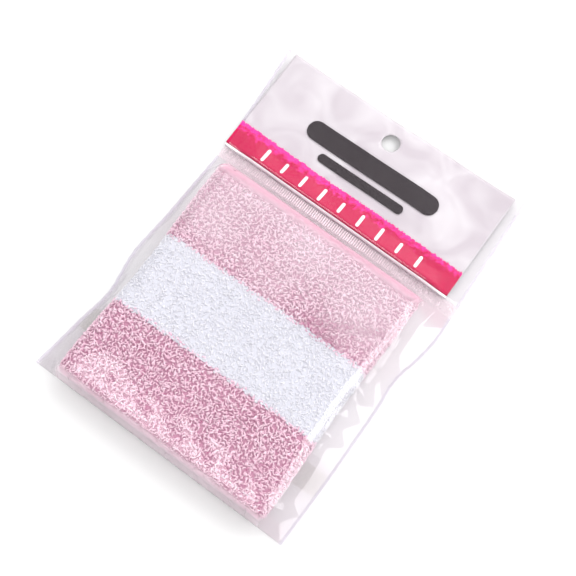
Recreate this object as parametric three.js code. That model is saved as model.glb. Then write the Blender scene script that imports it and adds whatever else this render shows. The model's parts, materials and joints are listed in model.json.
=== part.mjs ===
// A terry sweat wristband, pressed flat, in the clear header bag it is sold in.
//
// Millimetres, +Z up. The bag lies on its back with its header towards +Y and the band's
// tube axis along Y. The origin is on the resting surface, under the centre of the bag.
//
// The band is one knitted tube turned back inside itself, so it has an outer wall, a lining
// and a rolled fold at each end. An elastic yarn and the joining seam lie between the walls.
// Pressed flat, each of its layers is a ring of stadium section round the hand opening.
import * as THREE from "three";

// ---- Bag ------------------------------------------------------------------------------
const SIDE_ROOM = 8; // from the flat band to the bag's side, where the film slopes down
const FOOT_ROOM = 1.5; // from the bag's lower edge to the band
const HEAD_ROOM = 3.35; // from the band to the top of the pouch's films
const FILM = 0.3; // thickness the films are drawn at; the real film is about 0.05
const LAYER_GAP = 0.15; // clearance between stacked films
const EDGE_GAP = 0.15; // clearance between pieces that meet edge to edge
const FOLD_CLEARANCE = 1.2; // from the crimp to the fold line, so that the header can fold
const WELD_WIDTH = 0.9; // bead that the hot knife leaves along each side
const CRIMP_HEIGHT = 3;
const CRIMP_RIB_PITCH = 1.6;
const CRIMP_RIB_HEIGHT = 0.35;
const CRIMP_BASE = 0.4;
const HANG_HOLE_DIAMETER = 6.35;
const HANG_HOLE_MARGIN = 4.45; // from the hole to the bag's top edge
const HANG_HOLE_SIDES = 32;

// ---- Closure flap ---------------------------------------------------------------------
const FLAP_LENGTH = 28;
const FLAP_INSET = 1; // the flap is this much narrower than the back film on each side
const ADHESIVE_WIDTH = 8;
const ADHESIVE_THICKNESS = 0.15;
const ADHESIVE_FROM_TIP = 3;

// ---- Header print ---------------------------------------------------------------------
const PANEL_MARGIN = 3.4; // clear film outside the milky panel, on each side
const INK = 0.12;
const INK_BAND_HEIGHT = 10.4;
const INK_BAND_FRINGE = 0.8; // depth of the ragged upper edge
const INK_BAND_TEETH = 44;
const INK_BAND_RISE = 0.3; // from the fold line to the band's lower edge
const SUBTITLE_BAR = { width: 34, height: 3.2, gapBelow: 3.4 };
const TITLE_BAR = { width: 52, height: 7, gapBelow: 1.8 };
const TITLE_TO_HOLE = 3.9;

// ---- Wristband ------------------------------------------------------------------------
const BAND_WIDTH = 80; // pressed flat
const BAND_LENGTH = 85; // along the tube's axis
const LOWER_STRIPE = 28;
const UPPER_STRIPE = 30; // the middle stripe takes the rest of the length
const OUTER_WALL = 2.2;
const LINING_WALL = 2;
const HAND_SLIT = 1.2; // the hand opening, pressed almost shut
const STRIPE_GAP = 0.15;
const CORE_CLEARANCE = 0.3; // round the elastic and the seam, between the walls
const ELASTIC_DIAMETER = 0.6;
const ELASTIC_TURNS = 12;
const SEAM_THICKNESS = 0.6;
const SEAM_WIDTH = 1.4;

// ---- Fineness of the curves -----------------------------------------------------------
const ROUND_STEPS = 9; // along each half circle of a stadium
const ROLL_STEPS = 6;
const TAUT_STEPS = 5;
const ELASTIC_BEND_STEPS = 5; // round each half circle

// ---- Sizes that follow ----------------------------------------------------------------
const bagWidth = BAND_WIDTH + 2 * SIDE_ROOM;
const pouchHeight = FOOT_ROOM + BAND_LENGTH + HEAD_ROOM;
const crimpAllowance = EDGE_GAP + CRIMP_HEIGHT + FOLD_CLEARANCE;

const subtitleRise = INK_BAND_RISE + INK_BAND_HEIGHT + SUBTITLE_BAR.gapBelow;
const titleRise = subtitleRise + SUBTITLE_BAR.height + TITLE_BAR.gapBelow;
const holeRise = titleRise + TITLE_BAR.height + TITLE_TO_HOLE + HANG_HOLE_DIAMETER / 2;
const headerHeight = holeRise + HANG_HOLE_DIAMETER / 2 + HANG_HOLE_MARGIN;

const bagTop = (pouchHeight + crimpAllowance + headerHeight) / 2;
const bagBottom = -bagTop;
const foldLine = bagTop - headerHeight;
const crimpTop = foldLine - FOLD_CLEARANCE;
const pouchTop = bagBottom + pouchHeight;
const filmHalf = bagWidth / 2 - WELD_WIDTH - EDGE_GAP;

const flapFloor = 0;
const adhesiveFloor = flapFloor + FILM + LAYER_GAP;
const backFloor = adhesiveFloor + ADHESIVE_THICKNESS + LAYER_GAP;
const bandFloor = backFloor + FILM + LAYER_GAP;
const frontEdgeFloor = bandFloor;

const coreGap = Math.max(ELASTIC_DIAMETER, SEAM_THICKNESS) + 2 * CORE_CLEARANCE;
const outerRadius = OUTER_WALL + coreGap + LINING_WALL + HAND_SLIT / 2;
const outerInside = outerRadius - OUTER_WALL;
const liningOutside = outerInside - coreGap;
const liningInside = liningOutside - LINING_WALL;
const coreRadius = (outerInside + liningOutside) / 2;
const stadiumHalf = BAND_WIDTH / 2 - outerRadius; // half the straight length of the section
const bandCentreHeight = bandFloor + outerRadius;
const rollRadius = (outerRadius - liningInside) / 2; // of the fold at each end
const rollCentre = liningInside + rollRadius;
const bandBottom = bagBottom + FOOT_ROOM;
const bandTop = bandBottom + BAND_LENGTH;
const lowerBoundary = bandBottom + LOWER_STRIPE;
const upperBoundary = bandTop - UPPER_STRIPE;

// ---- Materials ------------------------------------------------------------------------
const finish = (color, roughness, opacity = 1) => () =>
  new THREE.MeshStandardMaterial({
    color,
    roughness,
    metalness: 0,
    opacity,
    transparent: opacity < 1,
  });
const pinkTerry = finish(0xe6bfd0, 0.95);
const whiteTerry = finish(0xeeeef4, 0.95);
const elasticCover = finish(0xf4f1ea, 0.6);
const sewingThread = finish(0xdda9bf, 0.7);
const clearFilm = finish(0xf2f4f7, 0.12, 0.25);
const milkyFilm = finish(0xece6ec, 0.3, 0.9);
const adhesiveFilm = finish(0xf3efe2, 0.5, 0.6);
const crimsonInk = finish(0xe2274f, 0.3);
const charcoalInk = finish(0x3a3136, 0.35);

const root = new THREE.Group();

function add(name, geometry, material, parent = root) {
  const mesh = new THREE.Mesh(geometry, material());
  mesh.name = name;
  parent.add(mesh);
  return mesh;
}

// ---- Shapes ---------------------------------------------------------------------------

// A closed solid from a grid of corner points, wrapped round in both directions.
function wrappedGrid(rows) {
  const width = rows[0].length;
  const index = [];
  rows.forEach((_, i) => {
    const next = (i + 1) % rows.length;
    for (let j = 0; j < width; j += 1) {
      const after = (j + 1) % width;
      const corner = [i * width + j, i * width + after, next * width + after, next * width + j];
      index.push(corner[0], corner[1], corner[2], corner[0], corner[2], corner[3]);
    }
  });
  const geometry = new THREE.BufferGeometry();
  geometry.setAttribute("position", new THREE.Float32BufferAttribute(rows.flat(2), 3));
  geometry.setIndex(index);
  geometry.computeVertexNormals();
  return geometry;
}

// Where the section's outline turns: the centre of each bend and the way out from it.
function stadiumStations() {
  const stations = [];
  for (const side of [1, -1]) {
    for (let i = 0; i <= ROUND_STEPS; i += 1) {
      const angle = side * (Math.PI / 2) - (side * Math.PI * i) / ROUND_STEPS;
      stations.push({
        centre: side * stadiumHalf,
        x: side * Math.cos(angle),
        z: Math.sin(angle),
      });
    }
  }
  return stations;
}

// Turns a profile of [radius, y] points round the stadium, as a lathe does round a circle.
function flattenedRing(profile) {
  const rows = stadiumStations().map(({ centre, x, z }) =>
    profile.map(([radius, y]) => [centre + x * radius, y, z * radius]),
  );
  return wrappedGrid(rows);
}

// One layer of the band over one stripe.
function wallRing(inside, outside, from, to) {
  return flattenedRing([
    [inside, from],
    [inside, to],
    [outside, to],
    [outside, from],
  ]);
}

// The rolled fold that joins the outer wall to the lining; end is 1 at the top, -1 below.
function foldRing(y, end) {
  const profile = [];
  for (let i = 0; i <= ROLL_STEPS; i += 1) {
    const angle = Math.PI - (Math.PI * i) / ROLL_STEPS;
    profile.push([rollCentre + rollRadius * Math.cos(angle), y + end * rollRadius * Math.sin(angle)]);
  }
  return flattenedRing(end > 0 ? profile : profile.reverse());
}

// The path of the elastic: a helix wound round the stadium from one end to the other. Each
// half turn is one step along the straight and ELASTIC_BEND_STEPS round the bend.
class FlattenedHelix extends THREE.Curve {
  constructor(radius, from, to, turns) {
    super();
    Object.assign(this, { radius, from, to, turns });
  }

  getPoint(t, target = new THREE.Vector3()) {
    const halfTurns = t * this.turns * 2;
    const side = Math.floor(halfTurns) % 2 ? -1 : 1;
    const step = (halfTurns % 1) * (1 + ELASTIC_BEND_STEPS);
    const y = THREE.MathUtils.lerp(this.from, this.to, t);
    if (step < 1) {
      const x = THREE.MathUtils.lerp(-stadiumHalf, stadiumHalf, step);
      return target.set(side * x, y, side * this.radius);
    }
    const angle = (Math.PI * (step - 1)) / ELASTIC_BEND_STEPS;
    const x = side * (stadiumHalf + this.radius * Math.sin(angle));
    return target.set(x, y, side * this.radius * Math.cos(angle));
  }

  // Keeps the steps above instead of even ones, so that the bends stay round.
  getUtoTmapping(u) {
    return u;
  }
}

function polygonShape(radius, sides) {
  const corners = Array.from({ length: sides }, (_, i) => {
    const angle = (2 * Math.PI * i) / sides;
    return new THREE.Vector2(radius * Math.cos(angle), radius * Math.sin(angle));
  });
  return new THREE.Shape(corners);
}

// A flat outline raised from one height to another.
function plate(shape, floor, thickness) {
  const geometry = new THREE.ExtrudeGeometry(shape, { depth: thickness, bevelEnabled: false });
  return geometry.translate(0, 0, floor);
}

function rectangle(halfWidth, from, to) {
  return new THREE.Shape([
    new THREE.Vector2(-halfWidth, from),
    new THREE.Vector2(halfWidth, from),
    new THREE.Vector2(halfWidth, to),
    new THREE.Vector2(-halfWidth, to),
  ]);
}

function withHangHole(shape) {
  const radius = HANG_HOLE_DIAMETER / 2;
  const hole = polygonShape(radius, HANG_HOLE_SIDES).getPoints();
  const place = new THREE.Vector2(0, foldLine + holeRise);
  shape.holes.push(new THREE.Path(hole.map((corner) => corner.add(place))));
  return shape;
}

function pillShape(width, height, centreY) {
  const half = width / 2 - height / 2;
  const shape = new THREE.Shape();
  shape.absarc(half, centreY, height / 2, -Math.PI / 2, Math.PI / 2, false);
  shape.absarc(-half, centreY, height / 2, Math.PI / 2, (3 * Math.PI) / 2, false);
  return shape;
}

// The heights a taut film takes as it leaves a round edge and runs straight to a fixed point.
// Distances run outwards from the round's centre. Returns [distance, height] pairs.
function tautProfile(centreDistance, centreHeight, radius, endDistance, endHeight) {
  const run = endDistance - centreDistance;
  const drop = centreHeight - endHeight;
  const reach = Math.hypot(run, drop);
  const below = Math.atan2(drop, run);
  const leave = Math.acos(radius / reach) - below; // angle above the horizontal
  const points = [];
  for (let i = 0; i <= TAUT_STEPS; i += 1) {
    const angle = THREE.MathUtils.lerp(Math.PI / 2, leave, i / TAUT_STEPS);
    points.push([
      centreDistance + radius * Math.cos(angle),
      centreHeight + radius * Math.sin(angle),
    ]);
  }
  points.push([endDistance, endHeight]);
  return points;
}

// ---- Wristband ------------------------------------------------------------------------
const band = new THREE.Group();
band.position.z = bandCentreHeight;
root.add(band);

const wallBottom = bandBottom + rollRadius;
const wallTop = bandTop - rollRadius;
const stripes = [
  { name: "lower", from: wallBottom, to: lowerBoundary, yarn: pinkTerry },
  { name: "middle", from: lowerBoundary, to: upperBoundary, yarn: whiteTerry },
  { name: "upper", from: upperBoundary, to: wallTop, yarn: pinkTerry },
];
for (const { name, from, to, yarn } of stripes) {
  const start = from + STRIPE_GAP;
  const end = to - STRIPE_GAP;
  add(`outer_stripe_${name}`, wallRing(outerInside, outerRadius, start, end), yarn, band);
  add(`lining_stripe_${name}`, wallRing(liningInside, liningOutside, start, end), yarn, band);
}
add("end_fold_lower", foldRing(wallBottom, -1), pinkTerry, band);
add("end_fold_upper", foldRing(wallTop, 1), pinkTerry, band);

const seamTop = wallTop - STRIPE_GAP;
const seamBottom = seamTop - SEAM_WIDTH;
const seamInside = coreRadius - SEAM_THICKNESS / 2;
const seam = wallRing(seamInside, seamInside + SEAM_THICKNESS, seamBottom, seamTop);
add("joining_seam", seam, sewingThread, band);

const elasticFrom = wallBottom + ELASTIC_DIAMETER;
const elasticTo = seamBottom - ELASTIC_DIAMETER;
const elastic = new THREE.ExtrudeGeometry(polygonShape(ELASTIC_DIAMETER / 2, 5), {
  steps: ELASTIC_TURNS * 2 * (1 + ELASTIC_BEND_STEPS),
  extrudePath: new FlattenedHelix(coreRadius, elasticFrom, elasticTo, ELASTIC_TURNS),
  bevelEnabled: false,
});
add("elastic_yarn", elastic, elasticCover, band);

// ---- Pouch ----------------------------------------------------------------------------

// The front film: taut over the band, down to the welds, the crimp and the lower edge.
function frontFilmGeometry() {
  const edge = tautProfile(
    stadiumHalf,
    bandCentreHeight,
    outerRadius + LAYER_GAP,
    filmHalf,
    frontEdgeFloor,
  );
  const rollHeight = bandCentreHeight + rollCentre;
  const filmRoll = rollRadius + LAYER_GAP;
  const footEnd = -bagBottom - EDGE_GAP;
  const foot = tautProfile(-wallBottom, rollHeight, filmRoll, footEnd, frontEdgeFloor);
  const head = tautProfile(wallTop, rollHeight, filmRoll, pouchTop, frontEdgeFloor);
  const crown = edge[0][1];
  const share = (height) => (height - frontEdgeFloor) / (crown - frontEdgeFloor);
  const mirrored = edge.map(([distance, height]) => [-distance, height]).reverse();
  const across = [...mirrored, ...edge];
  const along = [...foot.map(([distance, height]) => [-distance, height]).reverse(), ...head];
  const heightAt = (zAcross, zAlong) =>
    frontEdgeFloor + (crown - frontEdgeFloor) * share(zAcross) * share(zAlong);
  return sheet(across, along, heightAt);
}

// A sheet given by its heights, thickened outwards, as one closed solid.
function sheet(across, along, heightAt) {
  const under = along.map(([y, zAlong]) =>
    across.map(([x, zAcross]) => new THREE.Vector3(x, y, heightAt(zAcross, zAlong))),
  );
  const rows = along.length;
  const columns = across.length;
  const over = under.map((row, i) =>
    row.map((point, j) => {
      const right = under[i][Math.min(j + 1, columns - 1)];
      const left = under[i][Math.max(j - 1, 0)];
      const ahead = under[Math.min(i + 1, rows - 1)][j];
      const behind = under[Math.max(i - 1, 0)][j];
      const normal = new THREE.Vector3()
        .crossVectors(right.clone().sub(left), ahead.clone().sub(behind))
        .normalize();
      const edgeRow = i === 0 || i === rows - 1;
      const edgeColumn = j === 0 || j === columns - 1;
      if (edgeRow || edgeColumn) normal.set(0, 0, 1); // keeps the edges in line
      return point.clone().addScaledVector(normal, FILM);
    }),
  );
  const points = [...over.flat(), ...under.flat()];
  const layer = rows * columns;
  const index = [];
  const quad = (a, b, c, d) => index.push(a, b, c, a, c, d);
  for (let i = 0; i < rows - 1; i += 1) {
    for (let j = 0; j < columns - 1; j += 1) {
      const a = i * columns + j;
      quad(a, a + 1, a + columns + 1, a + columns);
      quad(layer + a, layer + a + columns, layer + a + columns + 1, layer + a + 1);
    }
  }
  const rim = [];
  for (let j = 0; j < columns - 1; j += 1) rim.push(j);
  for (let i = 0; i < rows - 1; i += 1) rim.push(i * columns + columns - 1);
  for (let j = columns - 1; j > 0; j -= 1) rim.push((rows - 1) * columns + j);
  for (let i = rows - 1; i > 0; i -= 1) rim.push(i * columns);
  rim.forEach((a, k) => {
    const b = rim[(k + 1) % rim.length];
    quad(layer + a, layer + b, b, a);
  });
  const geometry = new THREE.BufferGeometry().setFromPoints(points);
  geometry.setIndex(index);
  geometry.computeVertexNormals();
  return geometry;
}

add("pouch_front_film", frontFilmGeometry(), clearFilm);
const backOutline = rectangle(filmHalf, bagBottom + EDGE_GAP, pouchTop);
add("pouch_back_film", plate(backOutline, backFloor, FILM), clearFilm);

// A bead of melted film along one side; both films end just inside it.
function weldBead(side, from, to, thickness) {
  const length = to - from;
  const bead = new THREE.BoxGeometry(WELD_WIDTH, length, thickness);
  const x = (side * (bagWidth - WELD_WIDTH)) / 2;
  return bead.translate(x, from + length / 2, backFloor + thickness / 2);
}
const pouchBeadThickness = 2 * FILM + LAYER_GAP;
add("pouch_weld_left", weldBead(-1, bagBottom, crimpTop, pouchBeadThickness), clearFilm);
add("pouch_weld_right", weldBead(1, bagBottom, crimpTop, pouchBeadThickness), clearFilm);

// The crimp: both films pressed together between ribbed jaws, ribs running up the bag.
function crimpGeometry() {
  const ribs = Math.floor((2 * filmHalf) / CRIMP_RIB_PITCH);
  const pitch = (2 * filmHalf) / ribs;
  const corners = [new THREE.Vector2(-filmHalf, 0), new THREE.Vector2(filmHalf, 0)];
  for (let i = ribs; i > 0; i -= 1) {
    const right = -filmHalf + i * pitch;
    corners.push(new THREE.Vector2(right, CRIMP_BASE));
    corners.push(new THREE.Vector2(right - pitch / 2, CRIMP_BASE + CRIMP_RIB_HEIGHT));
  }
  corners.push(new THREE.Vector2(-filmHalf, CRIMP_BASE));
  const geometry = new THREE.ExtrudeGeometry(new THREE.Shape(corners), {
    depth: CRIMP_HEIGHT,
    bevelEnabled: false,
  });
  return geometry.rotateX(Math.PI / 2).translate(0, crimpTop, backFloor + FILM / 2);
}
add("crimp_seal", crimpGeometry(), clearFilm);

// ---- Closure flap, folded under the back ----------------------------------------------
const flapHalf = filmHalf - FLAP_INSET;
const flapStart = bagBottom + EDGE_GAP;
const flapTip = flapStart + FLAP_LENGTH;
add("closure_flap", plate(rectangle(flapHalf, flapStart, flapTip), flapFloor, FILM), clearFilm);
const adhesiveTop = flapTip - ADHESIVE_FROM_TIP;
const adhesiveOutline = rectangle(flapHalf, adhesiveTop - ADHESIVE_WIDTH, adhesiveTop);
add("adhesive_strip", plate(adhesiveOutline, adhesiveFloor, ADHESIVE_THICKNESS), adhesiveFilm);

// ---- Header ---------------------------------------------------------------------------
const headerStart = foldLine + EDGE_GAP;
const panelHalf = bagWidth / 2 - PANEL_MARGIN;
const panelFloor = backFloor + FILM + LAYER_GAP;
const inkFloor = panelFloor + FILM + LAYER_GAP;
const headerFrontFloor = inkFloor + INK + LAYER_GAP;
const headerBeadThickness = headerFrontFloor + FILM - backFloor;

const headerFilm = () => withHangHole(rectangle(filmHalf, headerStart, bagTop));
const headerPanel = withHangHole(rectangle(panelHalf, headerStart, bagTop));
add("header_back_film", plate(headerFilm(), backFloor, FILM), clearFilm);
add("header_panel", plate(headerPanel, panelFloor, FILM), milkyFilm);
add("header_front_film", plate(headerFilm(), headerFrontFloor, FILM), clearFilm);
add("header_weld_left", weldBead(-1, headerStart, bagTop, headerBeadThickness), clearFilm);
add("header_weld_right", weldBead(1, headerStart, bagTop, headerBeadThickness), clearFilm);

// The printed band, with a ragged upper edge like torn pile.
function inkBandShape() {
  const bottom = foldLine + INK_BAND_RISE;
  const top = bottom + INK_BAND_HEIGHT;
  const tooth = (2 * panelHalf) / INK_BAND_TEETH;
  const corners = [new THREE.Vector2(-panelHalf, bottom), new THREE.Vector2(panelHalf, bottom)];
  for (let i = INK_BAND_TEETH; i >= 0; i -= 1) {
    const depth = i % 2 ? INK_BAND_FRINGE : 0;
    corners.push(new THREE.Vector2(-panelHalf + i * tooth, top - depth));
  }
  return new THREE.Shape(corners);
}
add("print_band", plate(inkBandShape(), inkFloor, INK), crimsonInk);
function addPrintBar(name, bar, rise) {
  const outline = pillShape(bar.width, bar.height, foldLine + rise + bar.height / 2);
  add(name, plate(outline, inkFloor, INK), charcoalInk);
}
addPrintBar("print_title_bar", TITLE_BAR, titleRise);
addPrintBar("print_subtitle_bar", SUBTITLE_BAR, subtitleRise);

export default root;
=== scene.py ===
# %% [markdown]
# # A terry sweat wristband in its header bag
# The wristband is a knitted tube of looped yarn, pressed flat. It lies in a thin, glossy
# bag whose top is a printed header with a hang hole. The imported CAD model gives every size;
# this script adds what makes the eye believe it: loops of yarn and a creased, shining film.

# %% Load the frame
import json
import math

import bmesh
import bpy
import numpy as np
from mathutils import Matrix, Vector, geometry


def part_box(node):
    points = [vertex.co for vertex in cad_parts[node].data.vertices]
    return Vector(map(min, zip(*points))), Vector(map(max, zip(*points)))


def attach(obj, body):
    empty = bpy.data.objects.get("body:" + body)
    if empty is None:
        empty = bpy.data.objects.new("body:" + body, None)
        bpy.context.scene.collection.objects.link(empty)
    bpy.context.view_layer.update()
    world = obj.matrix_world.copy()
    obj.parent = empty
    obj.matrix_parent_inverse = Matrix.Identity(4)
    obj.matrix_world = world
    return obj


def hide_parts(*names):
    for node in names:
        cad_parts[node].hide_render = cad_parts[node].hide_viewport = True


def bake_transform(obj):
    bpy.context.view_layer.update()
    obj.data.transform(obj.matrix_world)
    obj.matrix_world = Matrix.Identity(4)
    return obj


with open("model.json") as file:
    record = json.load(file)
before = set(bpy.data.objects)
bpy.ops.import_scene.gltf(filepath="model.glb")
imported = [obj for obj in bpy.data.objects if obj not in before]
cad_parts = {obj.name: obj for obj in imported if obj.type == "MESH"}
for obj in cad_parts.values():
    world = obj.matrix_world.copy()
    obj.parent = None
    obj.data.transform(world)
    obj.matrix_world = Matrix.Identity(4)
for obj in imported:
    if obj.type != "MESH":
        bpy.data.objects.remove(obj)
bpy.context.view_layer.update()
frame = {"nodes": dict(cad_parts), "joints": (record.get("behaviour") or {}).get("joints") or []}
nodes = frame["nodes"]
scene = bpy.context.scene
MM = 0.001
print("CAD nodes:", len(nodes))

# %% [markdown]
# Places come from the CAD boxes, so the looks follow when a size changes. `low` and `high`
# are the lowest and highest corners of a node, in millimetres.

# %% Places taken from the CAD nodes


def low(node):
    return np.array(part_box(node)[0]) / MM


def high(node):
    return np.array(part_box(node)[1]) / MM


FILM_LIFT = 0.15
bag_half = high("pouch_weld_right")[0]
bag_bottom = low("pouch_weld_left")[1]
bag_top = high("header_weld_left")[1]
film_bottom = low("pouch_front_film")[1]
crimp_bottom, crimp_top = low("crimp_seal")[1], high("crimp_seal")[1]
crimp_z = (low("crimp_seal")[2] + high("crimp_seal")[2]) / 2
fold_y = frame["joints"][0]["pos_m"][1] / MM
band_low, band_high = low("end_fold_lower"), high("end_fold_upper")
band_radius = (band_high[2] - band_low[2]) / 2
band_z = band_low[2] + band_radius
straight_half = band_high[0] - band_radius
stripe_edges = [
    low("outer_stripe_middle")[1] - FILM_LIFT,
    high("outer_stripe_middle")[1] + FILM_LIFT,
]
print("band", band_high - band_low, "mm; stripes meet at", stripe_edges)

# %% [markdown]
# ## Colours and materials
# A hex colour is what a screen shows; Cycles wants linear light. One function turns one
# into the other, and one function adds a node with its settings and its links.

# %% Helpers for materials


def linear(hex_colour):
    channels = [int(hex_colour[i : i + 2], 16) / 255 for i in (1, 3, 5)]
    curve = [c / 12.92 if c <= 0.04045 else ((c + 0.055) / 1.055) ** 2.4 for c in channels]
    return (*curve, 1.0)


def add_node(tree, kind, settings=None, links=None):
    """A node with its settings, by socket name or number or by property, and its links."""
    node = tree.nodes.new(kind)
    for key, value in (settings or {}).items():
        if isinstance(key, int) or key in node.inputs:
            node.inputs[key].default_value = value
        else:
            setattr(node, key, value)
    for key, source in (links or {}).items():
        tree.links.new(source, node.inputs[key])
    return node


def new_material(name):
    material = bpy.data.materials.new(name)
    material.use_nodes = True
    tree = material.node_tree
    tree.nodes.clear()
    output = tree.nodes.new("ShaderNodeOutputMaterial")
    return material, tree, output


def dress(piece, material):
    piece.data.materials.clear()
    piece.data.materials.append(material)


def stand_in(piece, cad_nodes, finish):
    """Gives a piece its finish, and hides the CAD nodes that it stands for."""
    dress(piece, finish)
    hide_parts(*cad_nodes)


def select_only(piece):
    bpy.ops.object.select_all(action="DESELECT")
    bpy.context.view_layer.objects.active = piece
    piece.select_set(True)


def store(piece, name, values):
    """Keeps a number on each point of a mesh, for its material to read."""
    layer = piece.data.attributes.new(name, "FLOAT", "POINT")
    layer.data.foreach_set("value", np.asarray(values, np.float32))


# %% [markdown]
# ## Camera, light and floor
# The pack is seen from above, a little from its lower right. In a studio, clear film is lit
# by a big soft box behind it, because film only shows where it mirrors a light,
# and a white card on one side brightens the slopes that face it. Each lamp here works either
# on matt surfaces or on gloss, so the glare can be set apart from the light on the cloth.

# %% Camera
CAMERA_AZIMUTH, CAMERA_ELEVATION, CAMERA_ROLL = 34.1, 73.0, 2.1
CAMERA_DISTANCE = 361 * MM
CAMERA_TARGET = Vector((1.7, -0.7, 0)) * MM

azimuth, elevation = math.radians(CAMERA_AZIMUTH), math.radians(CAMERA_ELEVATION)
back = Vector(
    (
        math.sin(azimuth) * math.cos(elevation),
        -math.cos(azimuth) * math.cos(elevation),
        math.sin(elevation),
    )
)
bpy.ops.object.camera_add(location=CAMERA_TARGET + back * CAMERA_DISTANCE)
camera = bpy.context.object
camera.rotation_mode = "QUATERNION"
facing = (-back).to_track_quat("-Z", "Y")
tilted = Matrix.Rotation(math.radians(CAMERA_ROLL), 3, "Z").to_quaternion()
camera.rotation_quaternion = facing @ tilted
camera.data.lens = 70
camera.data.sensor_width = 36
camera.data.clip_start, camera.data.clip_end = 0.01, 20
scene.camera = camera

# %% Lights
scene.view_settings.view_transform = "Standard"


def soft_box(name, direction, distance, size, brightness, works_on):
    """An area lamp that faces the object; brightness is its radiance, with a white wall at 1."""
    place = Vector(direction).normalized() * distance
    bpy.ops.object.light_add(type="AREA", location=place)
    lamp = bpy.context.object
    lamp.name = name
    lamp.rotation_euler = place.to_track_quat("Z", "Y").to_euler()
    lamp.data.shape = "RECTANGLE"
    lamp.data.size, lamp.data.size_y = size
    lamp.data.energy = brightness * math.pi * size[0] * size[1]
    lamp.visible_diffuse = works_on == "matt"
    lamp.visible_glossy = works_on == "gloss"


KEY_DIRECTION = (0.22, 0.80, 0.76)
soft_box("key_soft_box", KEY_DIRECTION, 1.0, (1.0, 0.7), 3.0, "matt")
soft_box("key_glare", KEY_DIRECTION, 1.0, (0.85, 0.45), 4.0, "gloss")
soft_box("side_card", (1.0, 0.25, 0.36), 0.8, (0.6, 0.5), 6.0, "gloss")
soft_box("front_bank", (-0.20, -0.44, 0.87), 1.0, (0.55, 0.42), 4.2, "gloss")

# The walls fill the shadows, but what glossy film mirrors of the room is dim.
ROOM_FILL, ROOM_MIRRORED = 1.38, 0.30
world = bpy.data.worlds.new("studio")
scene.world = world
world.use_nodes = True
room = world.node_tree
ray = add_node(room, "ShaderNodeLightPath")
room_light = add_node(
    room,
    "ShaderNodeMapRange",
    {"To Min": ROOM_FILL, "To Max": ROOM_MIRRORED},
    {"Value": ray.outputs["Is Glossy Ray"]},
)
background = room.nodes["Background"]
background.inputs["Color"].default_value = (1.0, 1.0, 1.0, 1.0)
room.links.new(room_light.outputs["Result"], background.inputs["Strength"])

# %% [markdown]
# The floor is a sheet of matt white paper. Its fibres scatter all light, so it shows a soft
# shadow and no reflection, and leaves the shine to the film.

# %% Floor
bpy.ops.object.select_all(action="DESELECT")
bpy.ops.mesh.primitive_plane_add(size=4, location=(0, 0, -0.05 * MM))
floor = bpy.context.object
floor.name = "floor"
paper, tree, output = new_material("matt_white_paper")
sheet_shader = add_node(
    tree, "ShaderNodeBsdfPrincipled", {"Base Color": linear("#DCDCDC"), "Roughness": 0.9}
)
tree.links.new(sheet_shader.outputs["BSDF"], output.inputs["Surface"])
dress(floor, paper)

# %% [markdown]
# ## Terry cloth
# Terry is a knitted ground with loops of yarn standing on it. Pressed in a bag the loops lie
# over in every direction, so from above they read as short, fat commas. A bump texture
# can't cast their small shadows, so the loops are real: one loop is modelled, then planted
# thousands of times, each with its own lean, twist and size.

# %% One loop of pile yarn
YARN_RADIUS = 0.2  # a soft two-ply cotton yarn
LOOP_RADIUS = 0.62
LOOP_STEPS = 5
YARN_SIDES = 4  # smooth shading rounds it; thousands of loops have to stay light


def one_loop(name, steps, sides):
    """A half ring of yarn on its two feet, made by spinning a small circle."""
    bpy.ops.object.select_all(action="DESELECT")
    start = (LOOP_RADIUS * MM, 0, 0)
    bpy.ops.mesh.primitive_circle_add(vertices=sides, radius=YARN_RADIUS * MM, location=start)
    loop = bpy.context.object
    loop.name = name
    bpy.ops.object.transform_apply(location=True)
    bpy.ops.object.mode_set(mode="EDIT")
    bpy.ops.mesh.select_all(action="SELECT")
    half_turn = math.radians(190)  # a little over half, so the far foot sinks in
    bpy.ops.mesh.spin(steps=steps, angle=half_turn, center=(0, 0, 0), axis=(0, 1, 0))
    bpy.ops.mesh.select_all(action="SELECT")
    bpy.ops.mesh.remove_doubles(threshold=0.001 * MM)
    bpy.ops.mesh.normals_make_consistent(inside=False)
    bpy.ops.object.mode_set(mode="OBJECT")
    points = np.array([v.co for v in loop.data.vertices]) / MM
    faces = np.array([list(f.vertices) for f in loop.data.polygons])
    bpy.data.objects.remove(loop)
    # Recalculating normals can leave the faces in any order, so they are given a fixed one.
    first = faces.argmin(1)[:, None]
    faces = np.take_along_axis(faces, (first + np.arange(4)) % 4, 1)
    return points, faces[np.lexsort(faces.T[::-1])]


fine_loop = one_loop("fine_loop", LOOP_STEPS, YARN_SIDES)
plain_loop = one_loop("plain_loop", LOOP_STEPS - 1, YARN_SIDES - 1)
loop_heights = fine_loop[0][:, 2]
print("one loop has", len(fine_loop[1]), "faces, heights", loop_heights.min(), loop_heights.max())

# %% [markdown]
# The band's surface is described by two distances: `round_it`, how far round the flattened
# ring, and `along`, how far along the tube's axis, over the folds at both ends. Loops and
# ground cloth both use it, so they always agree.

# %% The surface of the pressed band
PILE = 1.05  # from the ground cloth to the top of the loops
roll = high("end_fold_lower")[1] - band_low[1] + FILM_LIFT  # half the cloth's double wall
roll_centre = band_radius - roll
ground_roll = roll - PILE
wall_from = band_low[1] + roll
wall_to = band_high[1] - roll
wall_length = wall_to - wall_from
bend_radius = band_radius - PILE / 2
bend_length = math.pi * bend_radius
ring_length = 4 * straight_half + 2 * bend_length


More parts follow.
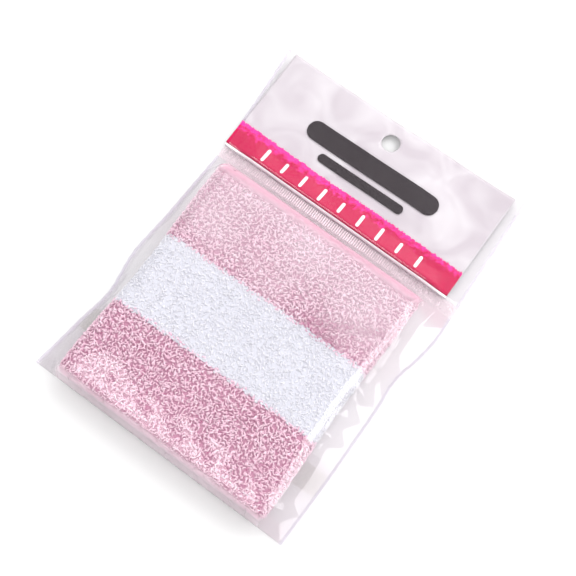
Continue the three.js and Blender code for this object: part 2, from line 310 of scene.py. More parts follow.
def ring(round_it):
    """The centre that the outline turns about, and the way out, at a distance round the ring."""
    s = np.mod(round_it, ring_length)
    straight = 2 * straight_half
    on_top = s < straight
    right = (s >= straight) & (s < straight + bend_length)
    under = (s >= straight + bend_length) & (s < 2 * straight + bend_length)
    turn = np.select(
        [on_top, right, under],
        [
            np.full_like(s, math.pi / 2),
            math.pi / 2 - (s - straight) / bend_radius,
            np.full_like(s, -math.pi / 2),
        ],
        -math.pi / 2 - (s - 2 * straight - bend_length) / bend_radius,
    )
    centre = np.select(
        [on_top, right, under],
        [
            s - straight_half,
            np.full_like(s, straight_half),
            straight_half - (s - straight - bend_length),
        ],
        -straight_half,
    )
    return centre, np.cos(turn), np.sin(turn)


def profile(along):
    """Radius, y and the tilt of the surface at a distance along the tube, folds included."""
    past = np.where(along < 0, along, np.maximum(along - wall_length, 0))
    tilt = past / ground_roll
    radius = roll_centre + ground_roll * np.cos(tilt)
    y = wall_from + np.clip(along, 0, wall_length) + ground_roll * np.sin(tilt)
    return radius, y, tilt


def crease(points, start, end, depth, width):
    """A shallow valley between two places in plan, fading at its ends."""
    a, b = np.array(start), np.array(end)
    run = b - a
    share = ((points[:, :2] - a) @ run) / (run @ run)
    beside = (points[:, 0] - a[0]) * run[1] - (points[:, 1] - a[1]) * run[0]
    across = np.abs(beside) / np.linalg.norm(run)
    fade = np.clip(4 * share * (1 - share), 0, 1) ** 0.5
    return depth * fade * np.exp(-((across / width) ** 2))


def settle(points, creased=True):
    """The soft, uneven shape that a pressed band takes: crowned, wavy and creased on top."""
    x, y, z = points.T
    up = np.clip((z - band_z) / band_radius, 0, 1.2)
    side = np.abs(x) / band_high[0]
    lengthwise = (y - (wall_from + wall_to) / 2) / (wall_length / 2)
    wave = 0.28 * np.sin(x / 12 + 1) * np.cos(y / 15) + 0.2 * np.sin(x / 7 - y / 9)
    drop = 0.9 * side**4 + 0.8 * np.maximum(lengthwise, 0) ** 8 + 1.6 * np.maximum(-lengthwise, 0) ** 5
    if creased:
        drop += crease(points, (12, -9), (38, 4), 1.3, 1.5)
        drop += crease(points, (-36.2, -14), (-35.4, 22), 1.1, 1.0)
        drop += crease(points, (18, -14), (33, -3), 0.6, 1.2)
    moved = points.copy()
    moved[:, 2] += up * (wave - 0.3 - drop)
    moved[:, 0] += np.sign(x) * side * np.clip(z / 8, 0, 1) * (0.5 * np.sin(y / 11 + 0.6) - 0.6)
    return moved


def surface(round_it, along, lift=0.0):
    """Points on the ground cloth, or lifted from it, and the frame of the surface there."""
    centre, out_x, out_z = ring(round_it)
    radius, y, tilt = profile(along)
    normal = np.stack([out_x * np.cos(tilt), np.sin(tilt), out_z * np.cos(tilt)], 1)
    axis = np.stack([-out_x * np.sin(tilt), np.cos(tilt), -out_z * np.sin(tilt)], 1)
    place = np.stack([centre + out_x * radius, y, band_z + out_z * radius], 1)
    return place + normal * lift, normal, axis


# %% [markdown]
# Real pile is never combed flat, so each loop gets its own width, height, lean and twist. A
# seeded generator draws them, and the same numbers come out on every run. Points are worked
# out for all loops at once, because thousands of separate operators would take minutes.

# %% Planting loops
LOOP_PITCH = 0.78  # between the loops on the face that shows
BACK_PITCH = 1.15  # under the band, where it is seldom seen


def mesh_piece(name, points_mm, faces, attributes):
    """A mesh object from points in millimetres, with numbers stored on its points."""
    mesh = bpy.data.meshes.new(name)
    mesh.from_pydata(points_mm * MM, [], faces)
    mesh.shade_smooth()
    piece = bpy.data.objects.new(name, mesh)
    scene.collection.objects.link(piece)
    for key, values in attributes.items():
        store(piece, key, values)
    return piece


def plant(round_range, along_range, pitch, template, seed):
    """Points, faces, heights and tones of loops planted over a patch of the band."""
    rng = np.random.default_rng(seed)
    shape, faces = template
    columns = int((round_range[1] - round_range[0]) / pitch)
    rows = max(1, int((along_range[1] - along_range[0]) / pitch))
    s, t = np.meshgrid(
        np.linspace(*round_range, columns, endpoint=False),
        np.linspace(*along_range, rows, endpoint=False),
    )
    s = s.ravel() + rng.uniform(0, pitch, s.size)
    t = t.ravel() + rng.uniform(0, pitch, t.size)
    place, normal, axis = surface(s, t)
    count = len(place)
    spin = rng.uniform(0, 2 * math.pi, count)
    third = np.cross(axis, normal)
    ahead = axis * np.cos(spin)[:, None] + third * np.sin(spin)[:, None]
    across = np.cross(normal, ahead)
    wide = rng.uniform(0.7, 1.25, count)[:, None]
    tall = rng.uniform(0.85, 1.3, count)[:, None]
    tip = rng.uniform(0.3, 1.5, count)[:, None]
    tip = np.where(np.abs(profile(t)[2])[:, None] > 0.1, 0.3 * tip, tip)  # upright on the folds
    swirl = rng.uniform(-0.8, 0.8, count)[:, None]
    x, y, z = shape.T
    turned_x = x * wide * np.cos(swirl * z) - y * np.sin(swirl * z)
    turned_y = x * wide * np.sin(swirl * z) + y * np.cos(swirl * z) + tip * np.clip(z, 0, None)
    local_z = np.broadcast_to(z * tall, turned_x.shape)
    points = (
        place[:, None]
        + across[:, None] * turned_x[..., None]
        + ahead[:, None] * turned_y[..., None]
        + normal[:, None] * local_z[..., None]
    )
    all_faces = faces[None] + (np.arange(count) * len(shape))[:, None, None]
    rise = np.clip(local_z / PILE, 0, 1)
    tone = np.broadcast_to(rng.normal(0, 1, (count, 1)), rise.shape)
    return points.reshape(-1, 3), all_faces.reshape(-1, 4), rise.ravel(), tone.ravel()


def ground(along_range, spacing=1.0, lift=0.0):
    """The knitted ground under a stripe, as a skin right round the band."""
    columns = int(ring_length / spacing)
    rows = max(2, int((along_range[1] - along_range[0]) / spacing))
    s, t = np.meshgrid(
        np.linspace(0, ring_length, columns, endpoint=False),
        np.linspace(*along_range, rows + 1),
    )
    points, _, _ = surface(s.ravel(), t.ravel(), lift)
    i, j = np.meshgrid(np.arange(rows), np.arange(columns), indexing="ij")
    after = (j + 1) % columns
    faces = np.stack(
        [i * columns + j, i * columns + after, (i + 1) * columns + after, (i + 1) * columns + j], -1
    ).reshape(-1, 4)[:, ::-1]
    # A rise of 0 gives the ground the terry's darkest colour: painted shade deep in the pile.
    return points, faces, np.zeros(len(points)), np.zeros(len(points))


# start, end, darkening and half width of the painted shade along the wrinkles in the pile
PAINTED_CREASE_SHADE = (
    ((13, -10), (38.5, 3.2), 0.6, 1.3),
    ((12, -12), (30, -9), 0.4, 2.2),
    ((15.2, -5.2), (16.2, -4.7), 1.0, 0.6),
    ((17.4, -3.6), (18.3, -3.1), 1.0, 0.6),
    ((-36.6, -14), (-35.8, 22), 0.35, 0.8),
)


def joined(name, patches):
    """One piece from several patches of points and faces."""
    starts = np.cumsum([0] + [len(p[0]) for p in patches[:-1]])
    points = settle(np.concatenate([p[0] for p in patches]))
    faces = np.concatenate([p[1] + start for p, start in zip(patches, starts)])
    rise = np.concatenate([p[2] for p in patches])
    # Painted shade along the wrinkles: loops there get a lower rise, so they take the darker foot
    # colour.
    crease_shade = sum(crease(points, *valley) for valley in PAINTED_CREASE_SHADE)
    rise = np.clip(rise - crease_shade * (points[:, 2] > band_z), 0, 1)
    tone = np.concatenate([p[3] for p in patches])
    return mesh_piece(name, points, faces, {"rise": rise, "tone": tone})


# %% [markdown]
# The terry finish: combed cotton, piece-dyed. Its colour holds painted shade: pale at the
# tips of the loops, deepening to a dusky rose towards their feet and on the ground cloth
# between them, where the loops shade each other. The `rise` number stored on each point is 0
# at a loop's foot and 1 at its crown.

# %% Terry materials


FIBRE = 0.12  # fuzz on the yarn, drawn coarser than real fibres so that it shows


def terry_material(name, foot, crown, pale):
    """Looped cotton with painted shade: dark at a loop's foot, pale at its crown, and fuzzy all over.
    """
    material, tree, output = new_material(name)
    rise = add_node(tree, "ShaderNodeAttribute", {"attribute_name": "rise"})
    tone = add_node(tree, "ShaderNodeAttribute", {"attribute_name": "tone"})
    # Painted shade: the colour darkens from a loop's crown down to its foot, where the loops shade each
    # other.
    depth = add_node(
        tree,
        "ShaderNodeMapRange",
        {"From Min": 0.25, "From Max": 0.95},
        {"Value": rise.outputs["Fac"]},
    )
    yarn = add_node(
        tree,
        "ShaderNodeMix",
        {"data_type": "RGBA", "A": linear(foot), "B": linear(crown)},
        {"Factor": depth.outputs["Result"]},
    )
    lighter = add_node(
        tree,
        "ShaderNodeMapRange",
        {"From Min": -1.5, "From Max": 2.5, "To Min": 0.0, "To Max": 0.55},
        {"Value": tone.outputs["Fac"]},
    )
    faded = add_node(
        tree,
        "ShaderNodeMix",
        {"data_type": "RGBA", "B": linear(pale)},
        {"Factor": lighter.outputs["Result"], "A": yarn.outputs["Result"]},
    )
    place = add_node(tree, "ShaderNodeTexCoord")
    fluff = add_node(
        tree,
        "ShaderNodeTexNoise",
        {"Scale": 3200.0, "Detail": 2.0},
        {"Vector": place.outputs["Object"]},
    )
    bump = add_node(
        tree,
        "ShaderNodeBump",
        {"Strength": 0.35, "Distance": FIBRE * MM},
        {"Height": fluff.outputs["Fac"]},
    )
    cotton = add_node(
        tree,
        "ShaderNodeBsdfPrincipled",
        {
            "Roughness": 0.92,
            "IOR": 1.45,
            "Specular IOR Level": 0.25,
            "Sheen Weight": 0.25,
            "Sheen Roughness": 0.6,
        },
        {"Base Color": faded.outputs["Result"], "Normal": bump.outputs["Normal"]},
    )
    tree.links.new(cotton.outputs["BSDF"], output.inputs["Surface"])
    return material


# For each terry: the painted shade at the loops' feet, the crowns, and a pale colour for loops that
# differ at random.
pink_terry = terry_material("dusty_pink_cotton_terry", "#AE5582", "#FAD4E5", "#FFF3F8")
white_terry = terry_material("white_cotton_terry", "#C3C5CF", "#DDDDE3", "#ECECEF")

# %% [markdown]
# The band is knitted in three stripes, and where the yarn colour changes a few pink loops
# stray over the white ones. Each stripe has a front of fine loops, which also covers the
# rounded sides, and a back of plainer ones. At both ends the tube rolls over to its lining.

# %% The stripes and the folds
ROUND_SIDE = 0.78 * bend_length  # how far down the rounded sides the fine loops go
FRONT = (-ROUND_SIDE, 2 * straight_half + ROUND_SIDE)
BACK = (FRONT[1], ring_length - ROUND_SIDE)
FOLD_TURN = 1.9 * ground_roll  # how far round the end fold the loops go
lower_edge, upper_edge = stripe_edges[0] - wall_from, stripe_edges[1] - wall_from
stripes = {
    "lower": ((0, lower_edge), pink_terry, "pink_terry", 0.1),
    "middle": ((lower_edge, upper_edge), white_terry, "white_terry", 0.5),
    "upper": ((upper_edge, wall_length), pink_terry, "pink_terry", 0.1),
}
STRAY = 0.6  # pink loops lie over the first row of white ones
for number, (where, (span, finish, slot, lift)) in enumerate(stripes.items()):
    over = {
        "lower": (span[0], span[1] + STRAY),
        "upper": (span[0] - STRAY, span[1]),
    }.get(where, span)
    front = joined(
        f"terry_front_{where}",
        [ground(span, lift=lift), plant(FRONT, over, LOOP_PITCH, fine_loop, 10 + number)],
    )
    behind = joined(
        f"terry_back_{where}", [plant(BACK, span, BACK_PITCH, plain_loop, 20 + number)]
    )
    for piece in (front, behind):
        stand_in(piece, [f"outer_stripe_{where}"], finish)
        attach(piece, "pouch")
    counts = [2 * len(piece.data.polygons) for piece in (front, behind)]
    print(where, "stripe, front and back:", counts, "triangles")

SKIN_TURN = math.pi * ground_roll
folds = {
    "lower": ((-SKIN_TURN, 0), (-FOLD_TURN, 0)),
    "upper": ((wall_length, wall_length + SKIN_TURN), (wall_length, wall_length + FOLD_TURN)),
}
for number, (where, (skin, span)) in enumerate(folds.items()):
    piece = joined(
        f"terry_fold_{where}",
        [
            ground(skin, 0.6),
            plant(FRONT, span, LOOP_PITCH, fine_loop, 30 + number),
            plant(BACK, span, BACK_PITCH, plain_loop, 40 + number),
        ],
    )
    stand_in(piece, [f"end_fold_{where}"], pink_terry)
    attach(piece, "pouch")

# %% [markdown]
# The tube is doubled, so a lining of the same terry faces inwards. Pressed shut it can hardly
# be seen, and a smooth skin is enough: random rise numbers mottle it with the terry's
# painted shade, in place of loops.

# %% The lining
LINING_SPACING = 0.6
lining_rng = np.random.default_rng(50)
for where, (span, finish, slot, _) in stripes.items():
    points, faces, _, _ = ground(span, LINING_SPACING, -2 * ground_roll)
    mottle_of_painted_shade = lining_rng.uniform(0.2, 1, len(points))
    points = settle(points, creased=False)
    numbers = {"rise": mottle_of_painted_shade, "tone": mottle_of_painted_shade - 0.6}
    lining = mesh_piece(f"terry_lining_{where}", points, faces[:, ::-1], numbers)
    stand_in(lining, [f"lining_stripe_{where}"], finish)
    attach(lining, "pouch")

# %% [markdown]
# Two CAD nodes inside the band keep their shape and get a finish. The elastic is rubber
# wrapped in white polyester, so it shows a fine, bright twist. The joining seam is sewn with
# spun polyester thread, which is duller and a little hairy.


# %% Thread and elastic
WAVE_RUN = 0.314  # a wave texture at scale 1 repeats about every 0.314 m
THREAD_TWIST = 0.5


def twisted_material(name, light, dark, twist, roughness):
    """Wound yarn: light strands with painted shade in the gaps between them, across the yarn's run."""
    material, tree, output = new_material(name)
    place = add_node(tree, "ShaderNodeTexCoord")
    strands = add_node(
        tree,
        "ShaderNodeTexWave",
        {
            "bands_direction": "DIAGONAL",
            "Scale": WAVE_RUN / (twist * MM),
            "Distortion": 1.5,
            "Detail": 2.0,
        },
        {"Vector": place.outputs["Object"]},
    )
    # Painted shade: the colour darkens in the gaps between the strands.
    colour = add_node(
        tree,
        "ShaderNodeMix",
        {"data_type": "RGBA", "A": linear(dark), "B": linear(light)},
        {"Factor": strands.outputs["Fac"]},
    )
    relief = add_node(
        tree,
        "ShaderNodeBump",
        {"Strength": 0.6, "Distance": 0.1 * MM},
        {"Height": strands.outputs["Fac"]},
    )
    yarn = add_node(
        tree,
        "ShaderNodeBsdfPrincipled",
        {"Roughness": roughness, "Sheen Weight": 0.2},
        {"Base Color": colour.outputs["Result"], "Normal": relief.outputs["Normal"]},
    )
    tree.links.new(yarn.outputs["BSDF"], output.inputs["Surface"])
    return material


nodes["elastic_yarn"].material_slots[0].material = twisted_material(
    "covered_elastic_yarn", "#F4F3F5", "#C9C7CE", THREAD_TWIST, 0.45
)
nodes["joining_seam"].material_slots[0].material = twisted_material(
    "spun_polyester_thread", "#F3D9E4", "#BE8AA2", THREAD_TWIST, 0.7
)

# %% [markdown]
# ## The bag's film
# The bag is thin, clear polypropylene. It is stiff against bending, so it doesn't flow like
# cloth: it breaks into flat facets that meet in crisp creases, and each facet that tilts the
# right way mirrors a whole lamp. So the film starts as a net of flat triangles stretched over
# the band, and only its creases are softened a little.

# Clear film gives the eye three things: a sharp mirror that grows at grazing angles, a soft
# halo round each reflection from fine scratches, and a faint haze. Crimped and melted film
# is the same polypropylene, roughened by heat, so it is milkier and its mirror is blurred.

# %% Clear film
PAINTED_PILE_PINK = "#D9A3B7"  # painted pink of the pile seen through the film, mixed into its haze
MIRROR_FACING, MIRROR_GRAZING = 0.06, 0.9
HALO_SHARE, HALO_ROUGHNESS = 0.22, 0.38


def film_material(name, milk, tint, gloss=0.06, glare_and_rib_white=None, haze_colour="#F7F4F8"):
    """Thin film: see-through, with mirror gloss, a soft halo round it, and a little haze."""
    material, tree, output = new_material(name)
    facing = add_node(tree, "ShaderNodeLayerWeight", {"Blend": 0.5})
    grazing = add_node(
        tree, "ShaderNodeMath", {"operation": "POWER", 1: 5.0}, {0: facing.outputs["Facing"]}
    )
    mirror = add_node(
        tree,
        "ShaderNodeMapRange",
        {"To Min": MIRROR_FACING, "To Max": MIRROR_GRAZING},
        {"Value": grazing.outputs[0]},
    )
    place = add_node(tree, "ShaderNodeTexCoord")
    ripple = add_node(
        tree,
        "ShaderNodeTexNoise",
        {"Scale": 420.0, "Detail": 1.0, "Distortion": 0.6},
        {"Vector": place.outputs["Object"]},
    )
    bump = add_node(
        tree,
        "ShaderNodeBump",
        {"Strength": 0.5, "Distance": 0.02 * MM},
        {"Height": ripple.outputs["Fac"]},
    )
    sharp, halo = [
        add_node(
            tree,
            "ShaderNodeBsdfAnisotropic",
            {"Roughness": roughness},
            {"Normal": bump.outputs["Normal"]},
        )
        for roughness in (gloss, HALO_ROUGHNESS)
    ]
    shine = add_node(
        tree, "ShaderNodeMixShader", {0: HALO_SHARE}, {1: sharp.outputs[0], 2: halo.outputs[0]}
    )
    clear = add_node(tree, "ShaderNodeBsdfTransparent", {"Color": linear(tint)})
    # Painted pink of the pile, seen through the film, mixed into the haze where the film lies on the
    # band.
    pile_pink_share = add_node(tree, "ShaderNodeAttribute", {"attribute_name": "pile_pink_share"})
    haze_with_painted_pink = add_node(
        tree,
        "ShaderNodeMix",
        {"data_type": "RGBA", "A": linear(haze_colour), "B": linear(PAINTED_PILE_PINK)},
        {"Factor": pile_pink_share.outputs["Fac"]},
    )
    cloud = add_node(tree, "ShaderNodeBsdfDiffuse", None, {"Color": haze_with_painted_pink.outputs["Result"]})
    scratches = add_node(
        tree,
        "ShaderNodeTexNoise",
        {"Scale": 900.0, "Detail": 3.0},
        {"Vector": place.outputs["Object"]},
    )
    haze = add_node(
        tree,
        "ShaderNodeMapRange",
        {"From Min": 0.35, "From Max": 0.75, "To Min": milk * 0.5, "To Max": milk * 1.8},
        {"Value": scratches.outputs["Fac"]},
    )
    whiteness = haze.outputs["Result"]
    # Painted glare on the clear film, as extra white haze read from an attribute; the crimp uses the
    # same attribute for the white of its ribs.
    if glare_and_rib_white:
        glare_and_rib_mask = add_node(tree, "ShaderNodeAttribute", {"attribute_name": glare_and_rib_white})
        strong = add_node(
            tree,
            "ShaderNodeMath",
            {"operation": "MULTIPLY_ADD", 1: 0.7},
            {0: glare_and_rib_mask.outputs["Fac"], 2: whiteness},
        )
        whiteness = strong.outputs[0]
    body = add_node(
        tree,
        "ShaderNodeMixShader",
        None,
        {0: whiteness, 1: clear.outputs[0], 2: cloud.outputs[0]},
    )
    left_clear = add_node(
        tree,
        "ShaderNodeMath",
        {"operation": "MULTIPLY_ADD", 1: -0.9, 2: 1.0, "use_clamp": True},
        {0: whiteness},
    )
    shining = add_node(
        tree,
        "ShaderNodeMath",
        {"operation": "MULTIPLY"},
        {0: mirror.outputs["Result"], 1: left_clear.outputs[0]},
    )
    skin = add_node(
        tree,
        "ShaderNodeMixShader",
        None,
        {0: shining.outputs[0], 1: body.outputs[0], 2: shine.outputs[0]},
    )
    tree.links.new(skin.outputs[0], output.inputs["Surface"])
    return material


clear_film = film_material(
    "clear_polypropylene_film", 0.015, "#FDFCFD", glare_and_rib_white="painted_glare", haze_colour="#F3EAF0"
)
crimped_film = film_material("heat_crimped_film", 0.2, "#FAF3F6", 0.16, "rib", "#F6E2EA")
welded_film = film_material("melted_film_edge", 0.10, "#F6F3F8", 0.12)

# %% [markdown]
# The side welds are pulled in and out by the film's tension. A few pairs of numbers, how far
# up the bag and how far in, in millimetres, describe each edge.

# %% The bag's outline
LEFT_PULL = np.array(
    [(0, 0.2), (10, 1.6), (20, 2.6), (31, 4.6), (47, 1.8), (63, 3.0), (96, 3.7), (110, 2.6), (135, 0.4)]
)
RIGHT_PULL = np.array(
    [(0, 0.2), (24, -0.2), (53, 0.2), (62, 1.3), (70, -0.9), (79, -2.4), (101, -1.5), (135, -0.1)]
)
WELD = high("pouch_weld_right")[0] - low("pouch_weld_right")[0]
FILM_Z = 1.05  # where the front film starts from, at the welds
BACK_Z = (low("pouch_back_film")[2] + high("pouch_back_film")[2]) / 2


def edge(y, pulls):
    """How far from the middle the film ends, at a height up the bag."""
    up = np.asarray(y, float) - bag_bottom
    stops, amounts = pulls.T
    blurred = [np.interp(up + shift, stops, amounts) for shift in (-4, -2, 0, 2, 4)]
    return bag_half - WELD - np.mean(blurred, axis=0)


def lean(x, y):
    """The crimp and the header's foot run a little downhill to the right."""
    share = np.interp(y, (wall_to + 2, crimp_bottom, 40, 62), (0, 1, 1, 0))
    return -0.012 * (x + bag_half) * share


def finish_film(piece, thickness):
    """Gives a film its thickness, half to each side, once its surface is final."""
    select_only(piece)
    wall = piece.modifiers.new("wall", "SOLIDIFY")
    wall.thickness = thickness * MM
    wall.offset = 0.0
    bpy.ops.object.modifier_apply(modifier="wall")
    piece.data.shade_smooth()


def move_points(piece, change):
    """Runs a function over a mesh's points, in millimetres."""
    points = np.empty(len(piece.data.vertices) * 3)
    piece.data.vertices.foreach_get("co", points)
    moved = change(points.reshape(-1, 3) / MM) * MM
    piece.data.vertices.foreach_set("co", moved.ravel())
    piece.data.update()


# %% [markdown]
# The front film is a net of corner points, closer together where the film turns down over
# the band and wider where it lies flat. Delaunay triangles join them, and each triangle is
# one facet. Rows are given as how far out they lie, how far down, and how loosely.

# %% The net of the front film
film_rng = np.random.default_rng(7)
TOP = band_high[2] + 0.2
SIDE_ROW_STEP = 6.8
SIDE_ROWS = ((-0.8, 0.0, 0.7), (2.7, -0.45, 0.5), (5.7, -3.2, 0.35), (9.6, -8.9, 0.5))
FLAT_STEP = 9.5
END_ROWS = ((-2.6, -0.1, 0.6, 8.2), (1.3, -0.55, 0.4, 6.4), (2.95, -3.0, 0.1, 4.1))


def jitter(amount, count=None):
    return film_rng.uniform(-amount, amount, count)


def front_net():
    """Corner points of the film's facets over the band, and the loop of its border."""
    border = []
    bottom = film_bottom + 0.02
    top = crimp_bottom
    for x in np.linspace(-edge(bottom, LEFT_PULL), edge(bottom, RIGHT_PULL), 22):
        border.append((x, bottom, FILM_Z))
    for y in np.linspace(bottom, top, 19)[1:-1]:
        border.append((edge(y, RIGHT_PULL), y, FILM_Z))
    for x in np.linspace(edge(top, RIGHT_PULL), -edge(top, LEFT_PULL), 24):
        border.append((x, top, FILM_Z + 0.2))
    for y in np.linspace(top, bottom, 17)[1:-1]:
        border.append((-edge(y, LEFT_PULL), y, FILM_Z))
    inner = []
    for sign, pulls in ((-1, LEFT_PULL), (1, RIGHT_PULL)):
        for out, drop, loose in SIDE_ROWS:
            for y in np.arange(wall_from + 1.5, wall_to, SIDE_ROW_STEP):
                y += jitter(2.2)
                reach = min(out + jitter(loose), edge(y, pulls) - straight_half - 1.6)
                inner.append((sign * (straight_half + reach), y, TOP + drop + jitter(0.3)))
    for start, way in ((wall_from, -1), (wall_to, 1)):
        for out, drop, loose, apart in END_ROWS:
            for x in np.arange(-straight_half + 2, straight_half, apart):
                x += jitter(0.29 * apart)
                inner.append((x, start + way * (out + jitter(loose)), TOP + drop + jitter(0.15)))
        for sign in (-1, 1):
            inner.append((sign * (straight_half + 4.1), start + way * 2.1, TOP - 2.4))
    for x in np.arange(-straight_half + 6, straight_half - 3, FLAT_STEP):
        for y in np.arange(wall_from + 9, wall_to - 5, FLAT_STEP):
            inner.append((x + jitter(3), y + jitter(3), TOP + 0.1 + abs(jitter(0.35))))
    return border, inner


CLEARANCE = 0.3  # from the band's rounded shape to the film


def clear_of_band(points):
    """Pushes points of the film out of the band's rounded shape."""
    x, y, z = points.T
    beyond = np.maximum(0, np.maximum(wall_from - y, y - wall_to))
    inward = roll - np.sqrt(np.maximum(0, roll**2 - np.minimum(beyond, roll) ** 2))
    radius = band_radius - inward + CLEARANCE
    out = np.maximum(0, np.abs(x) - straight_half)
    up = z - band_z
    away = np.hypot(out, up)
    touching = (away < radius) & (up > 0) & ((beyond == 0) | ((out > 0) & (beyond < roll)))
    push = np.where(touching, radius / np.maximum(away, 0.1), 1)
    x, z = np.sign(x) * (np.abs(x) + out * (push - 1)), band_z + up * push
    over = np.maximum(0, z - band_z - roll_centre)
    reach = np.hypot(beyond, over)
    wall = roll + CLEARANCE
    grow = np.where((beyond > 0) & (reach < wall), wall / np.maximum(reach, 0.3), 1) - 1
    grow = grow * np.clip((band_high[0] + 1 - np.abs(x)) / 3, 0, 1)
    return np.stack([x, y + np.sign(y - wall_from - roll) * beyond * grow, z + over * grow], 1)


def net_film(name, border, inner, cuts=3, soften=2):
    """Triangulates a net, then divides it finely and rounds its creases."""
    net = border + inner
    count = len(border)
    ring_edges = [(i, (i + 1) % count) for i in range(count)]
    flat = [Vector((x, y)) for x, y, z in net]
    made = geometry.delaunay_2d_cdt(flat, ring_edges, [], 1, 1e-5)
    heights = [net[origin[0]][2] if origin else FILM_Z for origin in made[3]]
    points = np.array([(p.x, p.y, h) for p, h in zip(made[0], heights)])
    piece = mesh_piece(name, points, [tuple(f) for f in made[2]], {})
    fine = piece.modifiers.new("fine", "SUBSURF")
    fine.subdivision_type = "SIMPLE"
    fine.levels = fine.render_levels = cuts
    select_only(piece)
    bpy.ops.object.modifier_apply(modifier="fine")
    shell = bmesh.new()
    shell.from_mesh(piece.data)
    inside = [v for v in shell.verts if not v.is_boundary]
    for _ in range(soften):
        bmesh.ops.smooth_vert(
            shell, verts=inside, factor=0.5, use_axis_x=True, use_axis_y=True, use_axis_z=True
        )
    shell.to_mesh(piece.data)
    shell.free()
    return piece


front = net_film("bag_front_film", *front_net())
move_points(front, clear_of_band)


def drape(points):
    """Follows the band's settled shape, with fine waves that bend each facet a little."""
    x, y, z = points.T
    moved = settle(points, creased=False)
    high_up = np.clip((z - 3) / 6, 0, 1)
    moved[:, 2] += high_up * 0.05 * (np.sin(x / 1.9 + 0.6 * y) + np.sin(y / 2.3 - 0.4 * x))
    moved[:, 1] += lean(x, y)
    return moved


move_points(front, drape)
front.data.shade_smooth()


def painted_glare(points):
    """Painted glare, as white haze on the film: round both ends of the band, most towards the crimp, in
    patches, and on the band's right side.
    """
    x, y, _ = points.T
    patches = 0.08 * np.sin(x / 6 + y / 9) * np.sin(y / 7 - x / 15)
    start, upper, end = wall_from, stripe_edges[1], wall_to
    stops = (start - 2, start - 0.6, upper - 4, upper + 8, end - 1, end + 1)
    share = np.interp(y, stops, (0.6, 0.0, 0.02, 0.26, 0.36, 0.85))
    over_band = np.clip((band_high[0] + 1 - np.abs(x)) / 2.5, 0, 1)
    right_side = 0.3 * np.clip((x - straight_half - 3) / 3, 0, 1)
    return np.maximum(over_band * np.clip(share + patches * (share > 0.1), 0, 1), right_side)


def where_pile_pink_shows(points):
    """How much painted pink of the pile, seen through the film, goes into its haze: round both ends of
    the band.
    """
    start, end = wall_from, wall_to
    stops = (band_low[1] - 0.4, start - 0.5, start + 2, end - 2, end + 1.5, crimp_bottom)
    return np.interp(points[:, 1], stops, (0.3, 0.25, 0.0, 0.0, 0.9, 0.8))


front_points = np.array([v.co for v in front.data.vertices]) / MM
store(front, "painted_glare", painted_glare(front_points))
store(front, "pile_pink_share", where_pile_pink_shows(front_points))
stand_in(front, ["pouch_front_film"], clear_film)
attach(front, "pouch")
print("front film:", len(front.data.polygons), "faces")

# %% [markdown]
# The back film is one flat sheet from the bottom of the bag to the top of the header, and a
# narrow ribbon of melted film runs up each side, where a hot wire cut and joined both films.


def flat_sheet(name, low_y, high_y, left, right, spacing, z):
    """A grid between two heights, as wide as its edges say at each height, in millimetres."""
    bpy.ops.object.select_all(action="DESELECT")
    rows = max(1, round((high_y - low_y) / spacing[1]))
    columns = max(1, round((right(low_y) + left(low_y)) / spacing[0]))
    bpy.ops.mesh.primitive_grid_add(x_subdivisions=columns, y_subdivisions=rows, size=2 * MM)
    piece = bpy.context.object
    piece.name = name
    piece.data.name = name

    def spread(points):
        across, up, _ = points.T
        y = low_y + (high_y - low_y) * (up + 1) / 2
        x = -left(y) + (left(y) + right(y)) * (across + 1) / 2
        return np.stack([x, y, np.full_like(x, z)], 1)

    move_points(piece, spread)
    return piece


def left_edge(y):
    return edge(y, LEFT_PULL)


def right_edge(y):
    return edge(y, RIGHT_PULL)


# %% [markdown]
# ## The header
# The header is a pearly sheet between two clear films, printed with a crimson band. It isn't
# flat: the fold over the crimp lifts its foot, and the sheet dries in long, shallow waves.
# Every layer uses the same wave, so the layers stay parallel and never touch.

# %% The header's wave


def wave(x, y):
    """How far the header's layers are lifted at a place."""
    up = y - fold_y
    length = 7.6 + 0.9 * np.sin(x / 9 + 1) + 0.6 * np.sin(x / 3.1)
    foot = np.clip(up / 1.6, 0, 1) * np.clip((length - up) / (length - 1.6), 0, 1)
    ends = np.clip((bag_half - 7 - np.abs(x - 1)) / 6, 0, 1)
    rolling = 0.5 + 0.5 * np.sin(x / 11 + y / 17 + 0.4) * np.sin(y / 12 - x / 31 + 0.9)
    flutter = 0.12 * np.sin(x / 4.3 + 0.7 * np.sin(y / 6)) * np.sin(y / 5.1 + 1)
    corner = (np.abs(x) / bag_half) ** 6 * np.clip((up - 20) / 20, 0, 1)
    grow = np.clip(up / 10, 0, 1)
    return 1.6 * foot * (0.35 + 0.65 * ends) + grow * (1.1 * rolling + flutter) + 1.5 * corner


def lay(piece, lowest=0.0):
    """Moves a flat piece of the header onto the wave, and gives it the crimp's slight lean."""

    def place(points):
        x, y, z = points.T
        return np.stack([x, y + lean(x, y), z + wave(x, y) * np.clip((y - lowest) / 1, 0, 1)], 1)

    move_points(piece, place)


def punch(piece):
    """Punches the hang hole: drops the faces inside it, and rounds the rim that is left."""
    sheet = bmesh.new()
    sheet.from_mesh(piece.data)
    centre = hole_place.xy
    gone = [f for f in sheet.faces if (f.calc_center_median().xy - centre).length < hole_radius * MM]
    bmesh.ops.delete(sheet, geom=gone, context="FACES")
    for corner in sheet.verts:
        out = corner.co.xy - centre
        if corner.is_boundary and out.length < hole_radius * MM * 1.6:
            corner.co.xy = centre + out.normalized() * hole_radius * MM
    sheet.to_mesh(piece.data)
    sheet.free()


